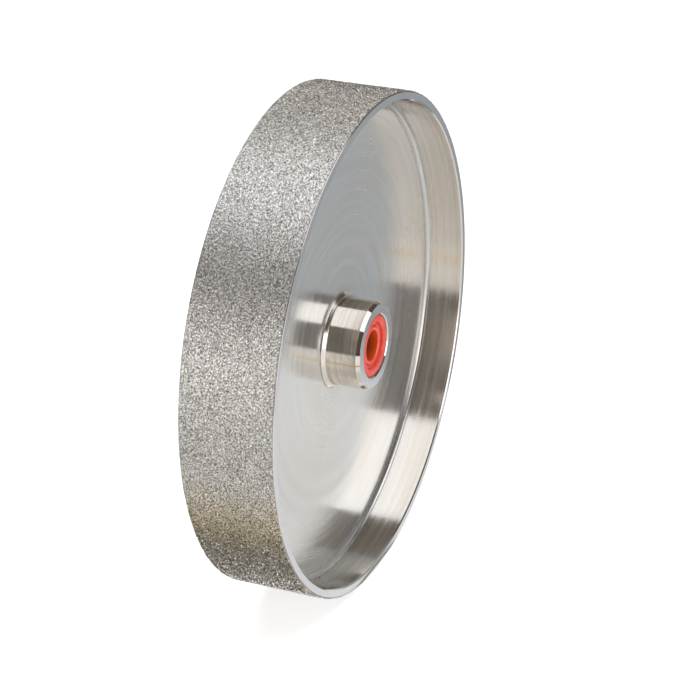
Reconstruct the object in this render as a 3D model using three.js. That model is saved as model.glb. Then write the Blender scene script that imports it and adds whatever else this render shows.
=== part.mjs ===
// An 8 inch diamond grinding wheel for a lapidary machine. A rolled steel band carries the diamond
// coat, a flat web disc joins the band to a long hub, and two sets of nested plastic bushes bring the
// hub's bore down to the size of the arbor. The wheel's axis is Y, its front faces -Y, and Z is up.
import * as THREE from 'three';

// Driving dimensions, in millimetres
const WHEEL_DIAMETER = 203.2;
const WHEEL_WIDTH = 38.1;
const COAT_THICKNESS = 0.7;
const COAT_EDGE_MARGIN = 0.25;
const BAND_WALL = 3.25;
const BAND_INNER_CHAMFER = 0.5;
const BAND_OUTER_CHAMFER = 0.25;
const WEB_THICKNESS = 5.2;
const RIM_BEAD = 1.9;
const HUB_DIAMETER = 35.5;
const HUB_SETBACK = 0.8;
const HUB_BORE = 25.4;
const HUB_OUTER_CHAMFER = 0.9;
const HUB_BORE_CHAMFER = 0.5;
const COLLAR_WIDTH = 2.1;
const COLLAR_DEPTH = 1.8;
const COLLAR_ROUND = 1.1;

// Each bush of a set, from the hub's bore inward: the arbor it fits and how far its face is sunk in the hub
const BUSHES = [
  { place: 'outer', arbor: 19.05, recess: 0.5 },
  { place: 'middle', arbor: 15.875, recess: 1.7 },
  { place: 'inner', arbor: 12.7, recess: 1.5 },
];
const BUSH_END_GAP = 0.3;
const BUSH_EDGE_CHAMFER = 0.35;
const BUSH_MOUTH_CHAMFER = 0.45;

// Clearances: between bonded or welded pieces, and on the radius between pieces that slide
const BOND_GAP = 0.05;
const SLIDING_GAP = 0.1;

const FACETS = 72;
const ROUND_STEPS = 4;

// Radii and depths that several pieces share
const wheelRadius = WHEEL_DIAMETER / 2;
const halfWidth = WHEEL_WIDTH / 2;
const bandRadius = wheelRadius - COAT_THICKNESS - BOND_GAP;
const bandInside = bandRadius - BAND_WALL;
const hubRadius = HUB_DIAMETER / 2;
const halfHub = halfWidth - HUB_SETBACK;
const halfWeb = WEB_THICKNESS / 2;

function metal(color, roughness) {
  return new THREE.MeshStandardMaterial({ color, roughness, metalness: 1 });
}

function plastic(color, roughness) {
  return new THREE.MeshStandardMaterial({ color, roughness, metalness: 0 });
}

// Turns a closed outline of [radius, y] corners about the wheel's axis. The corners run up the outside.
function turned(name, corners, material) {
  const outline = [...corners, corners[0]].map(([radius, y]) => new THREE.Vector2(radius, y));
  const mesh = new THREE.Mesh(new THREE.LatheGeometry(outline, FACETS), material);
  mesh.name = name;
  return mesh;
}

// Turns an outline drawn for the rear side of the web, or its mirror image for the front side
function turnedOnSide(name, rearCorners, side, material) {
  const mirrored = rearCorners.map(([radius, y]) => [radius, -y]).reverse();
  return turned(name, side > 0 ? rearCorners : mirrored, material);
}

// Corners of a quarter circle about [radius, y], from the angle `start` in quarter turns
function quarterRound([radius, y], size, start) {
  return Array.from({ length: ROUND_STEPS + 1 }, (_, step) => {
    const angle = (start + step / ROUND_STEPS) * Math.PI / 2;
    return [radius + size * Math.cos(angle), y + size * Math.sin(angle)];
  });
}

// A sleeve between two radii and two ends, with one chamfer on its outer edges and one on its inner edges
function sleeve(name, { inside, outside, bottom, top, outerChamfer, innerChamfer }, material) {
  const corners = [
    [inside + innerChamfer, bottom],
    [outside - outerChamfer, bottom],
    [outside, bottom + outerChamfer],
    [outside, top - outerChamfer],
    [outside - outerChamfer, top],
    [inside + innerChamfer, top],
    [inside, top - innerChamfer],
    [inside, bottom + innerChamfer],
  ];
  return turned(name, corners, material);
}

// A plain ring with square edges
function squareRing(name, inside, outside, halfHeight, material) {
  const corners = [
    [inside, -halfHeight],
    [outside, -halfHeight],
    [outside, halfHeight],
    [inside, halfHeight],
  ];
  return turned(name, corners, material);
}

function diamondCoat() {
  const halfHeight = halfWidth - COAT_EDGE_MARGIN;
  return squareRing('diamond_coat', bandRadius + BOND_GAP, wheelRadius, halfHeight, metal(0xa8a498, 0.6));
}

function rimBand() {
  const size = {
    inside: bandInside,
    outside: bandRadius,
    bottom: -halfWidth,
    top: halfWidth,
    outerChamfer: BAND_OUTER_CHAMFER,
    innerChamfer: BAND_INNER_CHAMFER,
  };
  return sleeve('rim_band', size, metal(0xb8b4ac, 0.25));
}

function webDisc() {
  return squareRing('web_disc', hubRadius + BOND_GAP, bandInside - BOND_GAP, halfWeb, metal(0xb4b8ba, 0.35));
}

function hub() {
  const size = {
    inside: HUB_BORE / 2,
    outside: hubRadius,
    bottom: -halfHub,
    top: halfHub,
    outerChamfer: HUB_OUTER_CHAMFER,
    innerChamfer: HUB_BORE_CHAMFER,
  };
  return sleeve('hub', size, metal(0xc4bcb0, 0.15));
}

// The hollow weld bead in the corner between the band and the web
function rimBead(name, side) {
  const wall = bandInside - BOND_GAP;
  const foot = halfWeb + BOND_GAP;
  const centre = [wall - RIM_BEAD, foot + RIM_BEAD];
  const corners = [[wall, foot], ...quarterRound(centre, RIM_BEAD, 3).reverse()];
  return turnedOnSide(name, corners, side, metal(0xd0ccc6, 0.3));
}

// The collar that holds the hub in the web, with its outer edge rounded over
function hubCollar(name, side) {
  const inside = hubRadius + BOND_GAP;
  const outside = inside + COLLAR_WIDTH;
  const foot = halfWeb + BOND_GAP;
  const top = foot + COLLAR_DEPTH;
  const edge = quarterRound([outside - COLLAR_ROUND, top - COLLAR_ROUND], COLLAR_ROUND, 0);
  const corners = [[inside, foot], [outside, foot], ...edge, [inside, top]];
  return turnedOnSide(name, corners, side, metal(0xb0aca4, 0.2));
}

// One bush of a nested set. `hole` is the hole that it fits, and `side` is -1 at the front.
function bush({ place, arbor, recess }, hole, end, side) {
  const ends = [side * BUSH_END_GAP, side * (halfHub - recess)];
  const size = {
    inside: arbor / 2,
    outside: hole / 2 - SLIDING_GAP,
    bottom: Math.min(...ends),
    top: Math.max(...ends),
    outerChamfer: BUSH_EDGE_CHAMFER,
    innerChamfer: BUSH_MOUTH_CHAMFER,
  };
  return sleeve(`${place}_bush_${end}`, size, plastic(0xe6504a, 0.45));
}

function bushSet(end, side) {
  const holes = [HUB_BORE, ...BUSHES.map(({ arbor }) => arbor)];
  return BUSHES.map((each, order) => bush(each, holes[order], end, side));
}

const wheel = new THREE.Group();
wheel.add(rimBand(), diamondCoat(), webDisc(), hub());
for (const [end, side] of [['front', -1], ['rear', 1]]) {
  wheel.add(rimBead(`rim_weld_${end}`, side), hubCollar(`hub_collar_${end}`, side), ...bushSet(end, side));
}

export default wheel;
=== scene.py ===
import math

import bmesh
import bpy
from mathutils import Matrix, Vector


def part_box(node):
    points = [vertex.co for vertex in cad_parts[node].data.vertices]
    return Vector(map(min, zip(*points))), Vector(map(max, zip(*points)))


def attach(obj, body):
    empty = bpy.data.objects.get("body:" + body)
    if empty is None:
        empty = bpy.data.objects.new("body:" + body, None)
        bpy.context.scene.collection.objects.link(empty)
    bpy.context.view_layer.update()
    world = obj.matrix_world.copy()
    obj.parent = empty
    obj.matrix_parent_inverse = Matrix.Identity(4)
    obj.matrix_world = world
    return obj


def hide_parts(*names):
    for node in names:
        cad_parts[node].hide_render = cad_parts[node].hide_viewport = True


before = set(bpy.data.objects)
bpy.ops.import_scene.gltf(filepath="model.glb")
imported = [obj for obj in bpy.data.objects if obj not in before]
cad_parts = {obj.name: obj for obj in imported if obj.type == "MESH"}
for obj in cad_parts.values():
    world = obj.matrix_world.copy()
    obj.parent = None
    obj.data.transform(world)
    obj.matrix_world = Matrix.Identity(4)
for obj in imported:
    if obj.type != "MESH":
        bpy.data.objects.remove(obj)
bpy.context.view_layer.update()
mm = 0.001


# every size below comes from the frame: the wheel's axis is Y and its front faces -Y
def outerRadius(node):
    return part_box(node)[1].x


def innerRadius(node):
    return min(math.hypot(vertex.co.x, vertex.co.z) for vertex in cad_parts[node].data.vertices)


def spanOf(node):
    low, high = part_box(node)
    return low.y, high.y


wheelRadius = outerRadius("diamond_coat")
bandRadius = outerRadius("rim_band")
bandInside = innerRadius("rim_band")
hubRadius = outerRadius("hub")
hubBore = innerRadius("hub")
halfWidth = spanOf("rim_band")[1]
halfHub = spanOf("hub")[1]
halfWeb = spanOf("web_disc")[1]


def newNode(tree, kind, **settings):
    node = tree.nodes.new(kind)
    for key, value in settings.items():
        setattr(node, key, value)
    return node


def feed(tree, value, socket):
    # a link where the value comes from another node, and a plain value otherwise
    if isinstance(value, bpy.types.NodeSocket):
        tree.links.new(value, socket)
    else:
        socket.default_value = value


def setSockets(tree, node, **values):
    for name, value in values.items():
        feed(tree, value, node.inputs[name.replace("_", " ")])
    return node


def addSockets(tree, inputs=(), outputs=()):
    for name, kind, value in inputs:
        socket = tree.interface.new_socket(name, in_out="INPUT", socket_type="NodeSocket" + kind)
        if value is not None:
            socket.default_value = value
    for name, kind in outputs:
        tree.interface.new_socket(name, in_out="OUTPUT", socket_type="NodeSocket" + kind)


def spreadOut(tree, perRow=6, across=220, down=300):
    # lays the nodes out in rows, in the order they were made
    for index, node in enumerate(tree.nodes):
        node.location = (index % perRow * across, -(index // perRow) * down)


def calculate(tree, operation, *values):
    node = newNode(tree, "ShaderNodeMath", operation=operation)
    for value, socket in zip(values, node.inputs):
        feed(tree, value, socket)
    return node.outputs[0]


def rangeOf(tree, value, low, high, start=0.0, end=1.0):
    node = newNode(tree, "ShaderNodeMapRange")
    setSockets(tree, node, Value=value, From_Min=start, From_Max=end, To_Min=low, To_Max=high)
    return node.outputs[0]


def blendColours(tree, share, first, second):
    node = newNode(tree, "ShaderNodeMix", data_type="RGBA")
    feed(tree, share, node.inputs[0])
    for colour, socket in ((first, node.inputs[6]), (second, node.inputs[7])):
        feed(tree, (*colour, 1) if isinstance(colour, tuple) else colour, socket)
    return node.outputs[2]


def colourRamp(tree, value, stops):
    node = newNode(tree, "ShaderNodeValToRGB")
    for index, (at, colour) in enumerate(stops):
        stop = node.color_ramp.elements[index] if index < 2 else node.color_ramp.elements.new(at)
        stop.position = at
        stop.color = (*colour, 1)
    feed(tree, value, node.inputs[0])
    return node.outputs[0]


def noise(tree, vector, scale, detail=2.0, roughness=0.5):
    node = newNode(tree, "ShaderNodeTexNoise")
    setSockets(tree, node, Vector=vector, Scale=scale, Detail=detail, Roughness=roughness)
    return node.outputs[0]


def vectorOf(tree, x, y, z):
    node = newNode(tree, "ShaderNodeCombineXYZ")
    return setSockets(tree, node, X=x, Y=y, Z=z).outputs[0]


def lengthOf(tree, first, second):
    squares = [calculate(tree, "MULTIPLY", side, side) for side in (first, second)]
    return calculate(tree, "SQRT", calculate(tree, "ADD", *squares))


def turningCoordinates(tree):
    # Object coordinates as a turner sees them: along the axis, and the two ways across it
    spot = newNode(tree, "ShaderNodeTexCoord").outputs["Object"]
    split = newNode(tree, "ShaderNodeSeparateXYZ")
    feed(tree, spot, split.inputs[0])
    across, along, upward = split.outputs
    return {"spot": spot, "across": across, "along": along, "upward": upward}


def radiusOf(tree, place):
    return lengthOf(tree, place["across"], place["upward"])


# a noise is its scale, detail and roughness, and shown is the part of it that is stretched over 0 to 1
marksNoise = {"fine": (1.0, 3.0, 0.6), "broad": (0.17, 2.0, 0.5), "shown": (0.13, 0.40)}
groovesPerMetre = 1000.0  # for each groove per mm


def turningMarksGroup(marks):
    # fine grooves that run round the axis: Height for a bump, Streaks for colour and roughness
    tree = bpy.data.node_groups.new("turningMarks", "ShaderNodeTree")
    addSockets(tree, inputs=[("Grooves per mm", "Float", 4.0), ("Wander", "Float", 0.6)],
               outputs=[("Height", "Float"), ("Streaks", "Float")])
    given = newNode(tree, "NodeGroupInput")
    place = turningCoordinates(tree)
    density = calculate(tree, "MULTIPLY", given.outputs["Grooves per mm"], groovesPerMetre)
    angle = calculate(tree, "ARCTAN2", place["upward"], place["across"])
    grooves = vectorOf(tree, calculate(tree, "MULTIPLY", radiusOf(tree, place), density),
                       calculate(tree, "MULTIPLY", place["along"], density),
                       calculate(tree, "MULTIPLY", angle, given.outputs["Wander"]))
    fine, broad = noise(tree, grooves, *marks["fine"]), noise(tree, grooves, *marks["broad"])
    streaks = rangeOf(tree, calculate(tree, "MULTIPLY", fine, broad), 0.0, 1.0, *marks["shown"])
    out = newNode(tree, "NodeGroupOutput")
    setSockets(tree, out, Height=fine, Streaks=streaks)
    spreadOut(tree)
    return tree


handlingNoise = {"smudges": (4.0, 0.55), "smudgesShown": (0.35, 0.7), "scuffs": (5.0, 0.7),
                 "scuffsShown": (0.6, 0.75), "waves": (42.0, 1.0)}


def handlingGroup(marks):
    # soft smudges, sparse small scuffs and the long waves of sheet metal, from 0 to 1
    tree = bpy.data.node_groups.new("handling", "ShaderNodeTree")
    addSockets(tree, inputs=[("Smudge Scale", "Float", 30.0), ("Scuff Scale", "Float", 260.0)],
               outputs=[("Smudges", "Float"), ("Scuffs", "Float"), ("Waves", "Float")])
    given = newNode(tree, "NodeGroupInput")
    spot = newNode(tree, "ShaderNodeTexCoord").outputs["Object"]
    smudges = noise(tree, spot, given.outputs["Smudge Scale"], *marks["smudges"])
    scuffs = noise(tree, spot, given.outputs["Scuff Scale"], *marks["scuffs"])
    out = newNode(tree, "NodeGroupOutput")
    setSockets(tree, out, Smudges=rangeOf(tree, smudges, 0.0, 1.0, *marks["smudgesShown"]),
               Scuffs=rangeOf(tree, scuffs, 0.0, 1.0, *marks["scuffsShown"]),
               Waves=noise(tree, spot, *marks["waves"]))
    spreadOut(tree)
    return tree


def faceCutGroup():
    # 1 on the end faces of a turned piece, 0 on its walls
    tree = bpy.data.node_groups.new("faceCut", "ShaderNodeTree")
    addSockets(tree, inputs=[("Face At", "Float", 0.019), ("Softness", "Float", 0.0001)],
               outputs=[("Face", "Float")])
    given = newNode(tree, "NodeGroupInput")
    away = calculate(tree, "ABSOLUTE", turningCoordinates(tree)["along"])
    start = calculate(tree, "SUBTRACT", given.outputs["Face At"], given.outputs["Softness"])
    out = newNode(tree, "NodeGroupOutput")
    face = rangeOf(tree, away, 0.0, 1.0, start, given.outputs["Face At"])
    setSockets(tree, out, Face=face)
    spreadOut(tree)
    return tree


# breaks for the painted edge highlight and rubbed wear
wearHighlightNoise = {"breaks": (700.0, 3.0, 0.6), "shown": (0.35, 0.6), "least": 0.2}


def edgeWearGroup(marks):
    # painted highlight and rubbed wear: a bright band near a round edge, broken up along it
    tree = bpy.data.node_groups.new("edgeWear", "ShaderNodeTree")
    addSockets(tree, inputs=[("Edge Radius", "Float", 0.01), ("Edge At", "Float", 0.01),
                             ("Reach", "Float", 0.0004)],
               outputs=[("Wear", "Float")])
    given = newNode(tree, "NodeGroupInput")
    place = turningCoordinates(tree)
    aside = calculate(tree, "SUBTRACT", radiusOf(tree, place), given.outputs["Edge Radius"])
    away = calculate(tree, "SUBTRACT", calculate(tree, "ABSOLUTE", place["along"]), given.outputs["Edge At"])
    near = rangeOf(tree, lengthOf(tree, aside, away), 1.0, 0.0, 0.0, given.outputs["Reach"])
    broken = rangeOf(tree, noise(tree, place["spot"], *marks["breaks"]), marks["least"], 1.0, *marks["shown"])
    out = newNode(tree, "NodeGroupOutput")
    setSockets(tree, out, Wear=calculate(tree, "MULTIPLY", near, broken))
    spreadOut(tree)
    return tree


turningMarks = turningMarksGroup(marksNoise)
handling = handlingGroup(handlingNoise)
faceCut = faceCutGroup()
edgeWear = edgeWearGroup(wearHighlightNoise)
print("shared effects ready")


def newMaterial(name):
    material = bpy.data.materials.new(name)
    material.use_nodes = True
    return material, material.node_tree, material.node_tree.nodes["Principled BSDF"]


def placeGroup(tree, group, **values):
    node = newNode(tree, "ShaderNodeGroup", node_tree=group)
    return setSockets(tree, node, **values).outputs


def bumpFrom(tree, height, strength, distance):
    node = newNode(tree, "ShaderNodeBump")
    return setSockets(tree, node, Height=height, Strength=strength, Distance=distance).outputs[0]


plating = {"scuffs": 260.0, "faceSoftness": 0.06 * mm, "wearHighlightReach": 0.3 * mm, "relief": 0.02 * mm}


def turnedNickel(name, look):
    # nickel plate over turned steel
    material, tree, shader = newMaterial(name)
    marks = placeGroup(tree, turningMarks, Grooves_per_mm=look["grooves"], Wander=look["wander"])
    touched = placeGroup(tree, handling, Smudge_Scale=look["smudges"], Scuff_Scale=plating["scuffs"])
    face = placeGroup(tree, faceCut, Face_At=look["faceAt"], Softness=plating["faceSoftness"])["Face"]
    edgeRadius, edgeAt = look["wearHighlightEdge"]
    wearHighlight = placeGroup(tree, edgeWear, Edge_Radius=edgeRadius, Edge_At=edgeAt,
                      Reach=plating["wearHighlightReach"])["Wear"]
    tone = blendColours(tree, marks["Streaks"], look["dark"], look["light"])
    tinted = rangeOf(tree, touched["Smudges"], 0.0, look["tintShare"])
    tone = blendColours(tree, tinted, tone, look["tint"])
    tone = blendColours(tree, face, tone, look["faceColour"])
    # painted highlight and rubbed wear: a light band blended onto the round edge
    tone = blendColours(tree, wearHighlight, tone, look["wearHighlightColour"])
    rough = calculate(tree, "ADD", rangeOf(tree, touched["Smudges"], *look["rough"]),
                      rangeOf(tree, marks["Streaks"], -look["streakRough"], look["streakRough"]))
    rough = calculate(tree, "ADD", rough, rangeOf(tree, face, 0.0, look["faceRough"]))
    height = calculate(tree, "MULTIPLY_ADD", touched["Scuffs"], look["scuffDepth"], marks["Height"])
    height = calculate(tree, "MULTIPLY_ADD", touched["Waves"], look["waves"], height)
    setSockets(tree, shader, Metallic=look["metal"], Base_Color=tone, Roughness=rough,
               Normal=bumpFrom(tree, height, look["bump"], plating["relief"]))
    spreadOut(tree)
    return material


# base colours are linear, the worn edge entry is the radius and the place along Y of the edge that gets
# rubbed wear and a painted highlight, and a faceAt of 1 m means that no end face shows
bandLook = {
    "dark": (0.64, 0.595, 0.54), "light": (0.83, 0.785, 0.735), "tint": (0.70, 0.62, 0.51), "tintShare": 0.35,
    "faceColour": (0.70, 0.71, 0.73), "faceAt": halfWidth, "faceRough": 0.20,
    "wearHighlightColour": (0.95, 0.94, 0.92), "wearHighlightEdge": (bandInside, halfWidth),
    "grooves": 3.0, "wander": 0.8, "smudges": 22.0, "waves": 6.0,
    "rough": (0.11, 0.17), "streakRough": 0.07, "bump": 0.10, "scuffDepth": 0.6, "metal": 1.0,
}
webLook = {
    "dark": (0.66, 0.67, 0.665), "light": (0.77, 0.78, 0.775), "tint": (0.73, 0.67, 0.58), "tintShare": 0.5,
    "faceColour": (0.80, 0.81, 0.80), "faceAt": 1.0, "faceRough": 0.0,
    "wearHighlightColour": (0.92, 0.92, 0.91), "wearHighlightEdge": (hubRadius, halfWeb),
    "grooves": 1.6, "wander": 1.2, "smudges": 19.0, "waves": 45.0,
    "rough": (0.17, 0.28), "streakRough": 0.04, "bump": 0.05, "scuffDepth": 0.5, "metal": 0.77,
}
beadLook = {
    "dark": (0.53, 0.52, 0.505), "light": (0.70, 0.69, 0.675), "tint": (0.60, 0.56, 0.50), "tintShare": 0.3,
    "faceColour": (0.8, 0.8, 0.8), "faceAt": 1.0, "faceRough": 0.0,
    "wearHighlightColour": (0.88, 0.87, 0.86), "wearHighlightEdge": (bandInside, halfWeb),
    "grooves": 2.0, "wander": 6.0, "smudges": 60.0, "waves": 20.0,
    "rough": (0.20, 0.32), "streakRough": 0.08, "bump": 0.12, "scuffDepth": 0.8, "metal": 0.9,
}
hubLook = {
    "dark": (0.62, 0.57, 0.505), "light": (0.80, 0.75, 0.69), "tint": (0.71, 0.62, 0.51), "tintShare": 0.3,
    "faceColour": (0.70, 0.72, 0.745), "faceAt": halfHub, "faceRough": 0.22,
    "wearHighlightColour": (0.95, 0.94, 0.92), "wearHighlightEdge": (hubBore, halfHub),
    "grooves": 6.0, "wander": 0.6, "smudges": 50.0, "waves": 1.0,
    "rough": (0.05, 0.10), "streakRough": 0.04, "bump": 0.08, "scuffDepth": 0.5, "metal": 1.0,
}
collarLook = {**hubLook, "rough": (0.16, 0.24), "wander": 2.0, "light": (0.84, 0.81, 0.77)}
bandFinish = turnedNickel("bandNickel", bandLook)
webFinish = turnedNickel("webNickel", webLook)
beadFinish = turnedNickel("beadNickel", beadLook)
hubFinish = turnedNickel("hubNickel", hubLook)
collarFinish = turnedNickel("collarNickel", collarLook)

bondLook = {"specks": (1500.0, 4.0, 0.75), "pits": 1900.0, "rough": (0.5, 0.26), "metal": 0.95,
            "pitBump": 0.8, "pitDepth": 0.12 * mm,
            "stops": ((0.34, (0.06, 0.055, 0.045)), (0.50, (0.40, 0.385, 0.35)), (0.66, (0.92, 0.905, 0.88)))}


def makeBondFinish(look):
    # nickel grown up between the grains: pitted, with bright and dark specks
    material, tree, shader = newMaterial("gritBond")
    spot = newNode(tree, "ShaderNodeTexCoord").outputs["Object"]
    cells = newNode(tree, "ShaderNodeTexVoronoi")
    setSockets(tree, cells, Vector=spot, Scale=look["pits"])
    specks = noise(tree, spot, *look["specks"])
    setSockets(tree, shader, Metallic=look["metal"], Base_Color=colourRamp(tree, specks, look["stops"]),
               Roughness=rangeOf(tree, specks, *look["rough"]),
               Normal=bumpFrom(tree, cells.outputs["Distance"], look["pitBump"], look["pitDepth"]))
    spreadOut(tree)
    return material


grainLook = {"stops": ((0.0, (0.02, 0.018, 0.014)), (0.31, (0.05, 0.046, 0.036)), (0.38, (0.62, 0.60, 0.56)),
                       (0.5, (0.95, 0.94, 0.92)), (1.0, (1.0, 1.0, 0.99))),
             "warm": (1.0, 0.935, 0.83), "cool": (0.975, 0.975, 0.975), "hues": (450.0, 3.0, 0.7),
             "huesShown": (0.4, 0.6), "clumps": (1800.0, 1.0), "clumping": 2.7, "clouds": 2500.0,
             "metal": (0.6, 1.0), "rough": (0.10, 0.32), "bump": 0.4, "relief": 0.03 * mm}


def makeGrainFinish(look):
    # diamond grains under thin nickel, each with a tone of its own
    material, tree, shader = newMaterial("diamondGrain")
    own = newNode(tree, "ShaderNodeAttribute", attribute_name="grainTone").outputs["Fac"]
    spot = newNode(tree, "ShaderNodeTexCoord").outputs["Object"]
    clouds = noise(tree, spot, look["clouds"])
    clumps = calculate(tree, "SUBTRACT", noise(tree, spot, *look["clumps"]), 0.5)
    tone = calculate(tree, "MULTIPLY_ADD", clumps, look["clumping"], own)
    hues = rangeOf(tree, noise(tree, spot, *look["hues"]), 0.0, 1.0, *look["huesShown"])
    hue = blendColours(tree, hues, look["warm"], look["cool"])
    colour = newNode(tree, "ShaderNodeMix", data_type="RGBA", blend_type="MULTIPLY")
    for value, socket in zip((1.0, colourRamp(tree, tone, look["stops"]), hue),
                             (colour.inputs[0], colour.inputs[6], colour.inputs[7])):
        feed(tree, value, socket)
    setSockets(tree, shader, Base_Color=colour.outputs[2],
               Metallic=rangeOf(tree, tone, *look["metal"]), Roughness=rangeOf(tree, clouds, *look["rough"]),
               Normal=bumpFrom(tree, clouds, look["bump"], look["relief"]))
    spreadOut(tree)
    return material


bondFinish = makeBondFinish(bondLook)
grainFinish = makeGrainFinish(grainLook)

# the shade inside the bore grows from shadeFrom to shadeTo behind its mouth
plasticLook = {
    # the pale ring colour of the plastic is a painted highlight on the bore's lip
    "deep": (0.88, 0.07, 0.035), "pale": (0.96, 0.16, 0.12), "wearHighlightColour": (0.95, 0.35, 0.3),
    "bore": (0.90, 0.13, 0.012), "boreShade": (0.34, 0.06, 0.012), "boreEdge": (0.1 * mm, 0.4 * mm),
    "shadeFrom": 1.0 * mm, "shadeTo": 5.5 * mm, "lipHighlightReach": 0.5 * mm, "smudges": 220.0, "scuffs": 900.0,
    "rough": (0.34, 0.5), "bump": 0.15, "relief": 0.05 * mm,
    "under": 0.4, "depth": 1.5 * mm, "underColour": (1.0, 0.25, 0.12), "ior": 1.5,
}


def makeBushFinish(look):
    # moulded red plastic: light goes a little way in
    material, tree, shader = newMaterial("redPlastic")
    touched = placeGroup(tree, handling, Smudge_Scale=look["smudges"], Scuff_Scale=look["scuffs"])
    arborRadius, mouth = innerRadius("inner_bush_rear"), spanOf("inner_bush_rear")[1]
    boreStart, boreEnd = (arborRadius + edge for edge in look["boreEdge"])
    # painted highlight: a pale ring round the lip of the bore
    lip = placeGroup(tree, edgeWear, Edge_Radius=boreEnd, Edge_At=mouth, Reach=look["lipHighlightReach"])["Wear"]
    place = turningCoordinates(tree)
    inBore = rangeOf(tree, radiusOf(tree, place), 1.0, 0.0, boreStart, boreEnd)
    # painted shade: the bore's colour darkens deeper behind its mouth, where shade falls
    inside = rangeOf(tree, calculate(tree, "ABSOLUTE", place["along"]), 1.0, 0.0,
                     mouth - look["shadeTo"], mouth - look["shadeFrom"])
    boreTone = blendColours(tree, inside, look["bore"], look["boreShade"])
    tone = blendColours(tree, touched["Smudges"], look["deep"], look["pale"])
    tone = blendColours(tree, inBore, tone, boreTone)
    setSockets(tree, shader, Base_Color=blendColours(tree, lip, tone, look["wearHighlightColour"]), IOR=look["ior"],
               Roughness=rangeOf(tree, touched["Smudges"], *look["rough"]), Subsurface_Weight=look["under"],
               Subsurface_Scale=look["depth"], Subsurface_Radius=look["underColour"],
               Normal=bumpFrom(tree, touched["Scuffs"], look["bump"], look["relief"]))
    spreadOut(tree)
    return material


bushFinish = makeBushFinish(plasticLook)
print("finishes ready")


def roundedOutline(corners, steps=5, hold=0.12 * mm, mostReach=0.45, mostHold=0.04):
    # corners are (radius, y, rounding), and hold keeps the shading flat just outside each rounding
    # mostReach and mostHold are the shares of a side that a rounding and a hold may take
    points = []
    for index, (radius, y, rounding) in enumerate(corners):
        corner = Vector((radius, y))
        before = Vector(corners[index - 1][:2]) - corner
        after = Vector(corners[(index + 1) % len(corners)][:2]) - corner
        toBefore, toAfter = before.normalized(), after.normalized()
        half = toBefore.angle(toAfter) / 2
        reach = min(rounding / math.tan(half), before.length * mostReach, after.length * mostReach)
        size = reach * math.tan(half)
        centre = corner + (toBefore + toAfter).normalized() * (size / math.sin(half))
        start, end = corner + toBefore * reach, corner + toAfter * reach
        points.append(start + toBefore * min(hold, before.length * mostHold))
        first, last = start - centre, end - centre
        firstAngle = math.atan2(first.y, first.x)
        sweep = (math.atan2(last.y, last.x) - firstAngle + math.pi) % (2 * math.pi) - math.pi
        for step in range(steps + 1):
            angle = firstAngle + sweep * step / steps
            points.append(centre + size * Vector((math.cos(angle), math.sin(angle))))
        points.append(end + toAfter * min(hold, after.length * mostHold))
    return points


def turningTree():
    # spins an outline, drawn in XY, about the Y axis
    tree = bpy.data.node_groups.new("turnedPiece", "GeometryNodeTree")
    tree.is_modifier = True
    addSockets(tree, inputs=[("Geometry", "Geometry", None), ("Facets", "Int", 128),
                             ("Path Radius", "Float", 0.01), ("Finish", "Material", None)],
               outputs=[("Geometry", "Geometry")])
    given = newNode(tree, "NodeGroupInput")
    outline = newNode(tree, "GeometryNodeMeshToCurve")
    setSockets(tree, outline, Mesh=given.outputs["Geometry"])
    shift = vectorOf(tree, calculate(tree, "MULTIPLY", given.outputs["Path Radius"], -1.0), 0.0, 0.0)
    centred = newNode(tree, "GeometryNodeTransform")
    setSockets(tree, centred, Geometry=outline.outputs["Curve"], Translation=shift)
    path = newNode(tree, "GeometryNodeCurvePrimitiveCircle", mode="RADIUS")
    setSockets(tree, path, Resolution=given.outputs["Facets"], Radius=given.outputs["Path Radius"])
    spun = newNode(tree, "GeometryNodeCurveToMesh")
    setSockets(tree, spun, Curve=path.outputs["Curve"], Profile_Curve=centred.outputs["Geometry"])
    upright = newNode(tree, "GeometryNodeTransform")
    setSockets(tree, upright, Geometry=spun.outputs["Mesh"], Rotation=(math.pi / 2, 0, 0))
    smooth = newNode(tree, "GeometryNodeSetShadeSmooth")
    setSockets(tree, smooth, Geometry=upright.outputs["Geometry"])
    finishTree(tree, given, smooth.outputs["Geometry"])
    return tree


def finishTree(tree, given, geometry):
    real = newNode(tree, "GeometryNodeRealizeInstances")
    setSockets(tree, real, Geometry=geometry)
    finish = newNode(tree, "GeometryNodeSetMaterial")
    setSockets(tree, finish, Geometry=real.outputs["Geometry"], Material=given.outputs["Finish"])
    out = newNode(tree, "NodeGroupOutput")
    setSockets(tree, out, Geometry=finish.outputs["Geometry"])
    spreadOut(tree)


def runTree(name, mesh, group, **values):
    # what a tree makes of a mesh, as a plain mesh of its own
    source = bpy.data.objects.new(name + "_source", mesh)
    bpy.context.scene.collection.objects.link(source)
    modifier = source.modifiers.new(group.name, "NODES")
    modifier.node_group = group
    for item in group.interface.items_tree:
        key = item.name.replace(" ", "_")
        if item.in_out == "INPUT" and key in values:
            modifier[item.identifier] = values[key]
    evaluated = source.evaluated_get(bpy.context.evaluated_depsgraph_get())
    made = bpy.data.meshes.new_from_object(evaluated)
    made.name = name
    bpy.data.objects.remove(source)
    piece = bpy.data.objects.new(name, made)
    bpy.context.scene.collection.objects.link(piece)
    return piece


def faceOutwards(piece, samePlace=1e-7):
    # points closer than samePlace, in metres, become one, so that the seam is closed
    shape = bmesh.new()
    shape.from_mesh(piece.data)
    bmesh.ops.remove_doubles(shape, verts=shape.verts, dist=samePlace)
    bmesh.ops.recalc_face_normals(shape, faces=shape.faces)
    shape.to_mesh(piece.data)
    shape.free()


turnedPiece = turningTree()


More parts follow.
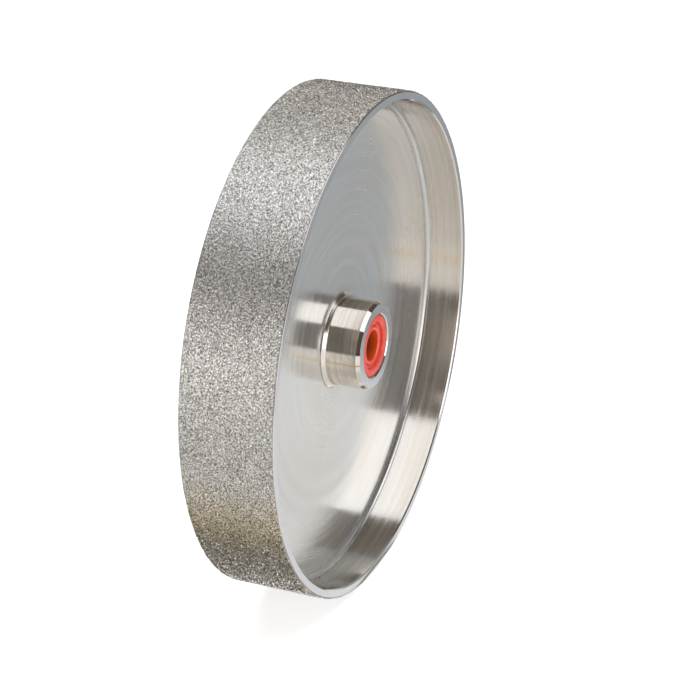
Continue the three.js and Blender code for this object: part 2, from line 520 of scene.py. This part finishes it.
def turn(name, points, facets, finish):
    mesh = bpy.data.meshes.new(name + "_outline")
    edges = [(index, (index + 1) % len(points)) for index in range(len(points))]
    mesh.from_pydata([(point[0], point[1], 0) for point in points], edges, [])
    middle = sum(point[0] for point in points) / len(points)
    piece = runTree(name, mesh, turnedPiece, Facets=facets, Path_Radius=middle, Finish=finish)
    faceOutwards(piece)
    return piece


def fit(piece, body, slot, *nodes):
    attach(piece, body)
    if nodes:
        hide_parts(*nodes)


bandSizes = {"innerChamfer": 0.5 * mm, "outerRound": 0.25 * mm, "edgeRound": 0.12 * mm, "facets": 288}


def makeBand(sizes):
    chamfer, outer, edge = sizes["innerChamfer"], sizes["outerRound"], sizes["edgeRound"]
    corners = [
        (bandInside + chamfer, -halfWidth, edge), (bandRadius, -halfWidth, outer),
        (bandRadius, halfWidth, outer), (bandInside + chamfer, halfWidth, edge),
        (bandInside, halfWidth - chamfer, edge), (bandInside, -halfWidth + chamfer, edge),
    ]
    piece = turn("bandRing", roundedOutline(corners), sizes["facets"], bandFinish)
    fit(piece, "wheel", "band_metal", "rim_band")


webSizes = {"edgeRound": 0.1 * mm, "facets": 288}


def makeWeb(sizes):
    inside, outside, edge = innerRadius("web_disc"), outerRadius("web_disc"), sizes["edgeRound"]
    corners = [
        (inside, -halfWeb, edge), (outside, -halfWeb, edge),
        (outside, halfWeb, edge), (inside, halfWeb, edge),
    ]
    piece = turn("webPlate", roundedOutline(corners), sizes["facets"], webFinish)
    fit(piece, "wheel", "web_metal", "web_disc")


hubSizes = {"chamferAlong": 1.6 * mm, "chamferIn": 0.75 * mm, "boreChamfer": 0.5 * mm, "edgeRound": 0.1 * mm,
            "facets": 192}


def makeHub(sizes):
    bore, edge, faceRadius = sizes["boreChamfer"], sizes["edgeRound"], hubRadius - sizes["chamferIn"]
    wallEnd = halfHub - sizes["chamferAlong"]
    corners = [
        (hubBore + bore, -halfHub, edge), (faceRadius, -halfHub, edge), (hubRadius, -wallEnd, edge),
        (hubRadius, wallEnd, edge), (faceRadius, halfHub, edge), (hubBore + bore, halfHub, edge),
        (hubBore, halfHub - bore, edge), (hubBore, -halfHub + bore, edge),
    ]
    piece = turn("hubBarrel", roundedOutline(corners), sizes["facets"], hubFinish)
    fit(piece, "wheel", "hub_metal", "hub")


weldSizes = {"steps": 12, "facets": 288}


def makeRimWeld(end, side, sizes):
    # a hollow fillet in the corner between the web and the band
    low, high = spanOf("rim_weld_" + end)
    wall, size = outerRadius("rim_weld_" + end), high - low
    foot = min(low, high, key=abs)
    points = [Vector((wall, foot))]
    for step in range(sizes["steps"] + 1):
        angle = (1 - step / sizes["steps"]) * math.pi / 2
        inward, outward = size * (math.sin(angle) - 1), size * (1 - math.cos(angle))
        points.append(Vector((wall + inward, foot + side * outward)))
    piece = turn("rimWeld_" + end, points, sizes["facets"], beadFinish)
    fit(piece, "wheel", "weld_metal", "rim_weld_" + end)


collarSizes = {"flat": 0.35 * mm, "crest": 1.0 * mm, "round": 0.5 * mm, "footRound": 0.05 * mm,
               "topRound": 0.1 * mm, "steps": 8, "facets": 192}


def makeCollar(end, side, sizes):
    # a sloping ring in the corner between the web and the hub
    foot, top = sorted(spanOf("hub_collar_" + end), key=abs)
    inside, outside = innerRadius("hub_collar_" + end), outerRadius("hub_collar_" + end)
    corners = [
        (inside, foot, sizes["footRound"]), (outside, foot, sizes["footRound"]),
        (outside, foot + side * sizes["flat"], sizes["round"]),
        (inside + sizes["crest"], top, sizes["round"]), (inside, top, sizes["topRound"]),
    ]
    outline = roundedOutline(corners, sizes["steps"])
    piece = turn("hubCollar_" + end, outline, sizes["facets"], collarFinish)
    fit(piece, "wheel", "hub_metal", "hub_collar_" + end)


bushSizes = {"rimChamfer": 0.35 * mm, "holeChamfer": 0.45 * mm, "edgeRound": 0.15 * mm, "backRound": 0.3 * mm,
             "facets": 128}


def makeBush(which, end, side, sizes):
    node = f"{which}_bush_{end}"
    back, mouth = sorted(spanOf(node), key=abs)
    hole, outside = innerRadius(node), outerRadius(node)
    rim, lip, edge, rear = sizes["rimChamfer"], sizes["holeChamfer"], sizes["edgeRound"], sizes["backRound"]
    corners = [
        (hole + lip, mouth, edge), (outside - rim, mouth, edge), (outside, mouth - side * rim, edge),
        (outside, back, rear), (hole, back, rear), (hole, mouth - side * lip, edge),
    ]
    piece = turn(f"{which}Bush_{end}", roundedOutline(corners), sizes["facets"], bushFinish)
    fit(piece, node, "bush_plastic", node)


makeBand(bandSizes)
makeWeb(webSizes)
makeHub(hubSizes)
for end, side in (("front", -1), ("rear", 1)):  # side is the way that end faces along Y
    makeRimWeld(end, side, weldSizes)
    makeCollar(end, side, collarSizes)
    for which in ("outer", "middle", "inner"):
        makeBush(which, end, side, bushSizes)
print("turned pieces ready")


bondSizes = {"below": 0.32 * mm, "endBelow": 0.1 * mm, "innerRound": 0.05 * mm, "outerRound": 0.2 * mm,
             "facets": 288}


def makeBond(sizes):
    bond, inside = wheelRadius - sizes["below"], innerRadius("diamond_coat")
    half = spanOf("diamond_coat")[1] - sizes["endBelow"]
    inner, outer = sizes["innerRound"], sizes["outerRound"]
    corners = [(inside, -half, inner), (bond, -half, outer), (bond, half, outer), (inside, half, inner)]
    piece = turn("coatBond", roundedOutline(corners), sizes["facets"], bondFinish)
    fit(piece, "wheel", "diamond_coat", "diamond_coat")


# candidates is how many places per square metre are tried, and the seed steps keep the random draws apart
gritSizes = {
    "rootBelow": 0.46 * mm, "spacing": 0.43 * mm, "candidates": 14e6, "sectors": 8, "arcSteps": 36,
    "edge": 0.25 * mm, "width": (0.16 * mm, 0.31 * mm), "height": (0.22 * mm, 0.42 * mm), "tilt": 0.17,
    "sides": 4, "top": 0.55, "seedSteps": {"turn": 100.0, "size": 200.0, "tone": 300.0},
}


def randomValue(tree, kind, low, high, seed):
    node = newNode(tree, "FunctionNodeRandomValue", data_type=kind)
    sockets = [socket for socket in node.inputs if socket.enabled]
    for value, socket in zip((low, high), sockets):
        feed(tree, value, socket)
    feed(tree, seed, node.inputs["Seed"])
    return [socket for socket in node.outputs if socket.enabled][0]


def gritTree(shape):
    # blunt grains over a surface, evenly spaced, each with its own size, tilt and tone
    tree = bpy.data.node_groups.new("gritCoat", "GeometryNodeTree")
    tree.is_modifier = True
    floats = ["Spacing", "Candidates", "Narrowest", "Widest", "Lowest", "Highest", "Tilt"]
    addSockets(tree, inputs=[("Geometry", "Geometry", None), ("Seed", "Int", 1), ("Finish", "Material", None),
                             *((name, "Float", 0.0) for name in floats)],
               outputs=[("Geometry", "Geometry")])
    given = newNode(tree, "NodeGroupInput")
    sizes = given.outputs
    seeds = {name: calculate(tree, "ADD", sizes["Seed"], step) for name, step in shape["seedSteps"].items()}
    spread = newNode(tree, "GeometryNodeDistributePointsOnFaces", distribute_method="POISSON")
    setSockets(tree, spread, Mesh=sizes["Geometry"], Distance_Min=sizes["Spacing"],
               Density_Max=sizes["Candidates"], Seed=sizes["Seed"])
    grain = newNode(tree, "GeometryNodeMeshCone")
    setSockets(tree, grain, Vertices=shape["sides"], Radius_Top=shape["top"], Radius_Bottom=1.0, Depth=1.0)
    lean = calculate(tree, "MULTIPLY", sizes["Tilt"], -1.0)
    turnBy = newNode(tree, "FunctionNodeEulerToRotation")
    feed(tree, randomValue(tree, "FLOAT_VECTOR", vectorOf(tree, lean, lean, -math.pi),
                           vectorOf(tree, sizes["Tilt"], sizes["Tilt"], math.pi), seeds["turn"]),
         turnBy.inputs[0])
    turned = newNode(tree, "FunctionNodeRotateRotation", rotation_space="LOCAL")
    setSockets(tree, turned, Rotation=spread.outputs["Rotation"], Rotate_By=turnBy.outputs[0])
    smallest = vectorOf(tree, sizes["Narrowest"], sizes["Narrowest"], sizes["Lowest"])
    largest = vectorOf(tree, sizes["Widest"], sizes["Widest"], sizes["Highest"])
    scale = randomValue(tree, "FLOAT_VECTOR", smallest, largest, seeds["size"])
    grains = newNode(tree, "GeometryNodeInstanceOnPoints")
    setSockets(tree, grains, Points=spread.outputs["Points"], Instance=grain.outputs["Mesh"],
               Rotation=turned.outputs[0], Scale=scale)
    toned = newNode(tree, "GeometryNodeStoreNamedAttribute", data_type="FLOAT", domain="INSTANCE")
    setSockets(tree, toned, Geometry=grains.outputs["Instances"], Name="grainTone",
               Value=randomValue(tree, "FLOAT", 0.0, 1.0, seeds["tone"]))
    finishTree(tree, given, toned.outputs["Geometry"])
    return tree


def makeGrit(sizes):
    tree = gritTree(sizes)
    sidesAndEnds = sizes["sides"] + 2
    half = spanOf("diamond_coat")[1] - sizes["edge"]
    radius, steps = wheelRadius - sizes["rootBelow"], sizes["arcSteps"]
    for sector in range(sizes["sectors"]):
        mesh = bpy.data.meshes.new("coatSector")
        points, faces = [], []
        for step in range(steps + 1):
            angle = 2 * math.pi * (sector + step / steps) / sizes["sectors"]
            points += [(radius * math.cos(angle), y, radius * math.sin(angle)) for y in (-half, half)]
        for step in range(steps):
            corner = 2 * step
            faces.append((corner, corner + 1, corner + 3, corner + 2))
        mesh.from_pydata(points, [], faces)
        piece = runTree(f"grit_{sector + 1}", mesh, tree, Seed=sector + 1, Finish=grainFinish,
                        Spacing=sizes["spacing"], Candidates=sizes["candidates"], Tilt=sizes["tilt"],
                        Narrowest=sizes["width"][0], Widest=sizes["width"][1],
                        Lowest=sizes["height"][0], Highest=sizes["height"][1])
        fit(piece, "wheel", "diamond_coat", "diamond_coat")
        print(piece.name, len(piece.data.polygons) // sidesAndEnds, "grains")


makeBond(bondSizes)
makeGrit(gritSizes)
print("coat ready")


cameraSizes = {"azimuth": -67.5, "elevation": 24.93, "distance": 0.9053, "lens": 117.7,
               "aimLeft": 0.0111, "aimDown": 0.0014}


def makeCamera(sizes):
    azimuth, elevation = math.radians(sizes["azimuth"]), math.radians(sizes["elevation"])
    back = Vector((math.sin(azimuth) * math.cos(elevation), -math.cos(azimuth) * math.cos(elevation),
                   math.sin(elevation)))
    right = Vector((-back.y, back.x, 0)).normalized()
    up = back.cross(right)
    aim = Vector((0, -halfWidth, 0)) - right * sizes["aimLeft"] - up * sizes["aimDown"]
    data = bpy.data.cameras.new("camera")
    data.lens = sizes["lens"]
    camera = bpy.data.objects.new("camera", data)
    bpy.context.scene.collection.objects.link(camera)
    camera.location = aim + back * sizes["distance"]
    camera.rotation_euler = (-back).to_track_quat("-Z", "Y").to_euler()
    bpy.context.scene.camera = camera


# an aim a hair off straight down sets which way round an overhead box lies
softboxes = {
    "overheadSoftbox": {"at": (-0.0775, 0.0, 0.95), "aim": (-0.0775, 0.0001, 0.0), "size": (0.995, 1.5),
                        "colour": (1.0, 1.04, 1.11), "glow": 1.82},
    "overheadSideSoftbox": {"at": (0.475, -0.385, 0.95), "aim": (0.475, -0.3849, 0.0), "size": (0.11, 0.73),
                            "colour": (1.0, 1.04, 1.11), "glow": 1.82},
    "leftBackSoftbox": {"at": (-1.0, 0.42, 0.24), "aim": (0.0, 0.0, 0.0), "size": (0.6, 0.55),
                        "colour": (1.0, 1.0, 1.03), "glow": 2.5},
    "frontFill": {"at": (-0.4, -1.0, 0.15), "aim": (0.0, 0.0, 0.0), "size": (0.8, 0.6),
                  "colour": (1.0, 1.0, 1.0), "glow": 2.0},
}


def makeSoftbox(name, sizes):
    # glow is the brightness of its face, whatever its size
    data = bpy.data.lights.new(name, "AREA")
    data.shape = "RECTANGLE"
    data.size, data.size_y = sizes["size"]
    data.energy = sizes["glow"] * data.size * data.size_y * math.pi
    data.color = sizes["colour"]
    light = bpy.data.objects.new(name, data)
    light.location = sizes["at"]
    light.rotation_euler = (Vector(sizes["aim"]) - light.location).to_track_quat("-Z", "Y").to_euler()
    light.visible_camera = False
    bpy.context.scene.collection.objects.link(light)


floorZ = -wheelRadius
floorLook = {"half": 3.0, "colour": (0.86, 0.855, 0.845, 1), "glow": 0.45, "seenGlow": 0.75, "rough": 0.9}


def makeFloor(look):
    material, tree, shader = newMaterial("paleFloor")
    seen = newNode(tree, "ShaderNodeLightPath").outputs["Is Camera Ray"]
    setSockets(tree, shader, Base_Color=look["colour"], Roughness=look["rough"], Emission_Color=(1, 1, 1, 1),
               Emission_Strength=rangeOf(tree, seen, look["glow"], look["seenGlow"]))
    half = look["half"]
    corners = [(-half, -half, floorZ), (half, -half, floorZ), (half, half, floorZ), (-half, half, floorZ)]
    mesh = bpy.data.meshes.new("floor")
    mesh.from_pydata(corners, [], [(0, 1, 2, 3)])
    mesh.materials.append(material)
    floor = bpy.data.objects.new("floor", mesh)
    bpy.context.scene.collection.objects.link(floor)


cards = {
    "greyCard": {"colour": (0.31, 0.335, 0.35), "glow": 0.35,
                 "corners": [(0.24, -0.7, floorZ), (0.24, -0.03, floorZ), (0.24, -0.03, 0.06),
                             (0.24, -0.7, 0.06)]},
    "rightBackCard": {"colour": (0.75, 0.74, 0.72), "glow": 0.8,
                      "corners": [(0.8, 0.05, 0.1), (0.8, 0.8, 0.1), (0.8, 0.8, 1.6), (0.8, 0.05, 1.6)]},
}
# cards that lie on the floor: from is the left near corner and to is the right far one
cardLift = {"first": 1.0 * mm, "each": 0.2 * mm}
cardRough = 0.9
floorCards = {
    "greyFloorCard": {"colour": (0.30, 0.29, 0.28), "glow": 0.35,
                      "from": (0.175, -0.7), "to": (0.24, -0.03)},
    # painted shadow: a floor sheet darker than the floor in front of the wheel, where its contact shadow
    # falls; only the metal mirrors it
    "nearShadowCard": {"colour": (0.76, 0.76, 0.75), "glow": 0.45,
                      "from": (-0.09, -0.4), "to": (0.175, -0.03)},
    "farFloorCard": {"colour": (0.10, 0.087, 0.073), "glow": 0.3,
                     "from": (-3.0, -2.0), "to": (-0.68, 0.0)},
    "strawStripFront": {"colour": (0.76, 0.47, 0.03), "glow": 0.3,
                        "from": (-0.154, -0.14), "to": (-0.136, -0.02)},
    "strawStripRear": {"colour": (0.92, 0.62, 0.02), "glow": 0.5,
                       "from": (-0.129, -0.02), "to": (-0.113, 0.10)},
    # painted shade: a dark sheet on the floor under the wheel, where its shadow falls; only the metal mirrors
    # it
    "underWheelShadeCard": {"colour": (0.17, 0.165, 0.125), "glow": 0.2,
                 "from": (-0.113, -0.02), "to": (0.10, 0.25)},
}


def makeCard(name, corners, look):
    # a studio card that only the metal mirrors
    material, tree, shader = newMaterial(name)
    setSockets(tree, shader, Base_Color=(*look["colour"], 1), Roughness=cardRough,
               Emission_Color=(*look["colour"], 1), Emission_Strength=look["glow"])
    mesh = bpy.data.meshes.new(name)
    mesh.from_pydata(corners, [], [(0, 1, 2, 3)])
    mesh.materials.append(material)
    card = bpy.data.objects.new(name, mesh)
    card.visible_camera = False
    card.visible_diffuse = False
    card.visible_shadow = False
    bpy.context.scene.collection.objects.link(card)


def floorCorners(look, lift):
    (left, near), (right, far) = look["from"], look["to"]
    return [(left, near, lift), (right, near, lift), (right, far, lift), (left, far, lift)]


worldLook = {"room": (0.108, 0.089, 0.072, 1), "backdrop": (1, 1, 1, 1)}


def makeWorld(look):
    # a dim room for the metal to mirror, and a white background for the camera
    world = bpy.data.worlds.new("studio")
    world.use_nodes = True
    tree = world.node_tree
    tree.nodes.clear()
    seen = newNode(tree, "ShaderNodeLightPath")
    room = newNode(tree, "ShaderNodeBackground")
    setSockets(tree, room, Color=look["room"], Strength=1.0)
    backdrop = newNode(tree, "ShaderNodeBackground")
    setSockets(tree, backdrop, Color=look["backdrop"], Strength=1.0)
    mix = newNode(tree, "ShaderNodeMixShader")
    sources = seen.outputs["Is Camera Ray"], room.outputs[0], backdrop.outputs[0]
    for value, socket in zip(sources, mix.inputs):
        feed(tree, value, socket)
    out = newNode(tree, "ShaderNodeOutputWorld")
    feed(tree, mix.outputs[0], out.inputs[0])
    spreadOut(tree)
    bpy.context.scene.world = world


bpy.context.scene.view_settings.view_transform = "Standard"
makeCamera(cameraSizes)
makeWorld(worldLook)
makeFloor(floorLook)
for name, sizes in softboxes.items():
    makeSoftbox(name, sizes)
for name, look in cards.items():
    makeCard(name, look["corners"], look)
for index, (name, look) in enumerate(floorCards.items()):
    makeCard(name, floorCorners(look, floorZ + cardLift["first"] + index * cardLift["each"]), look)
print("studio ready")
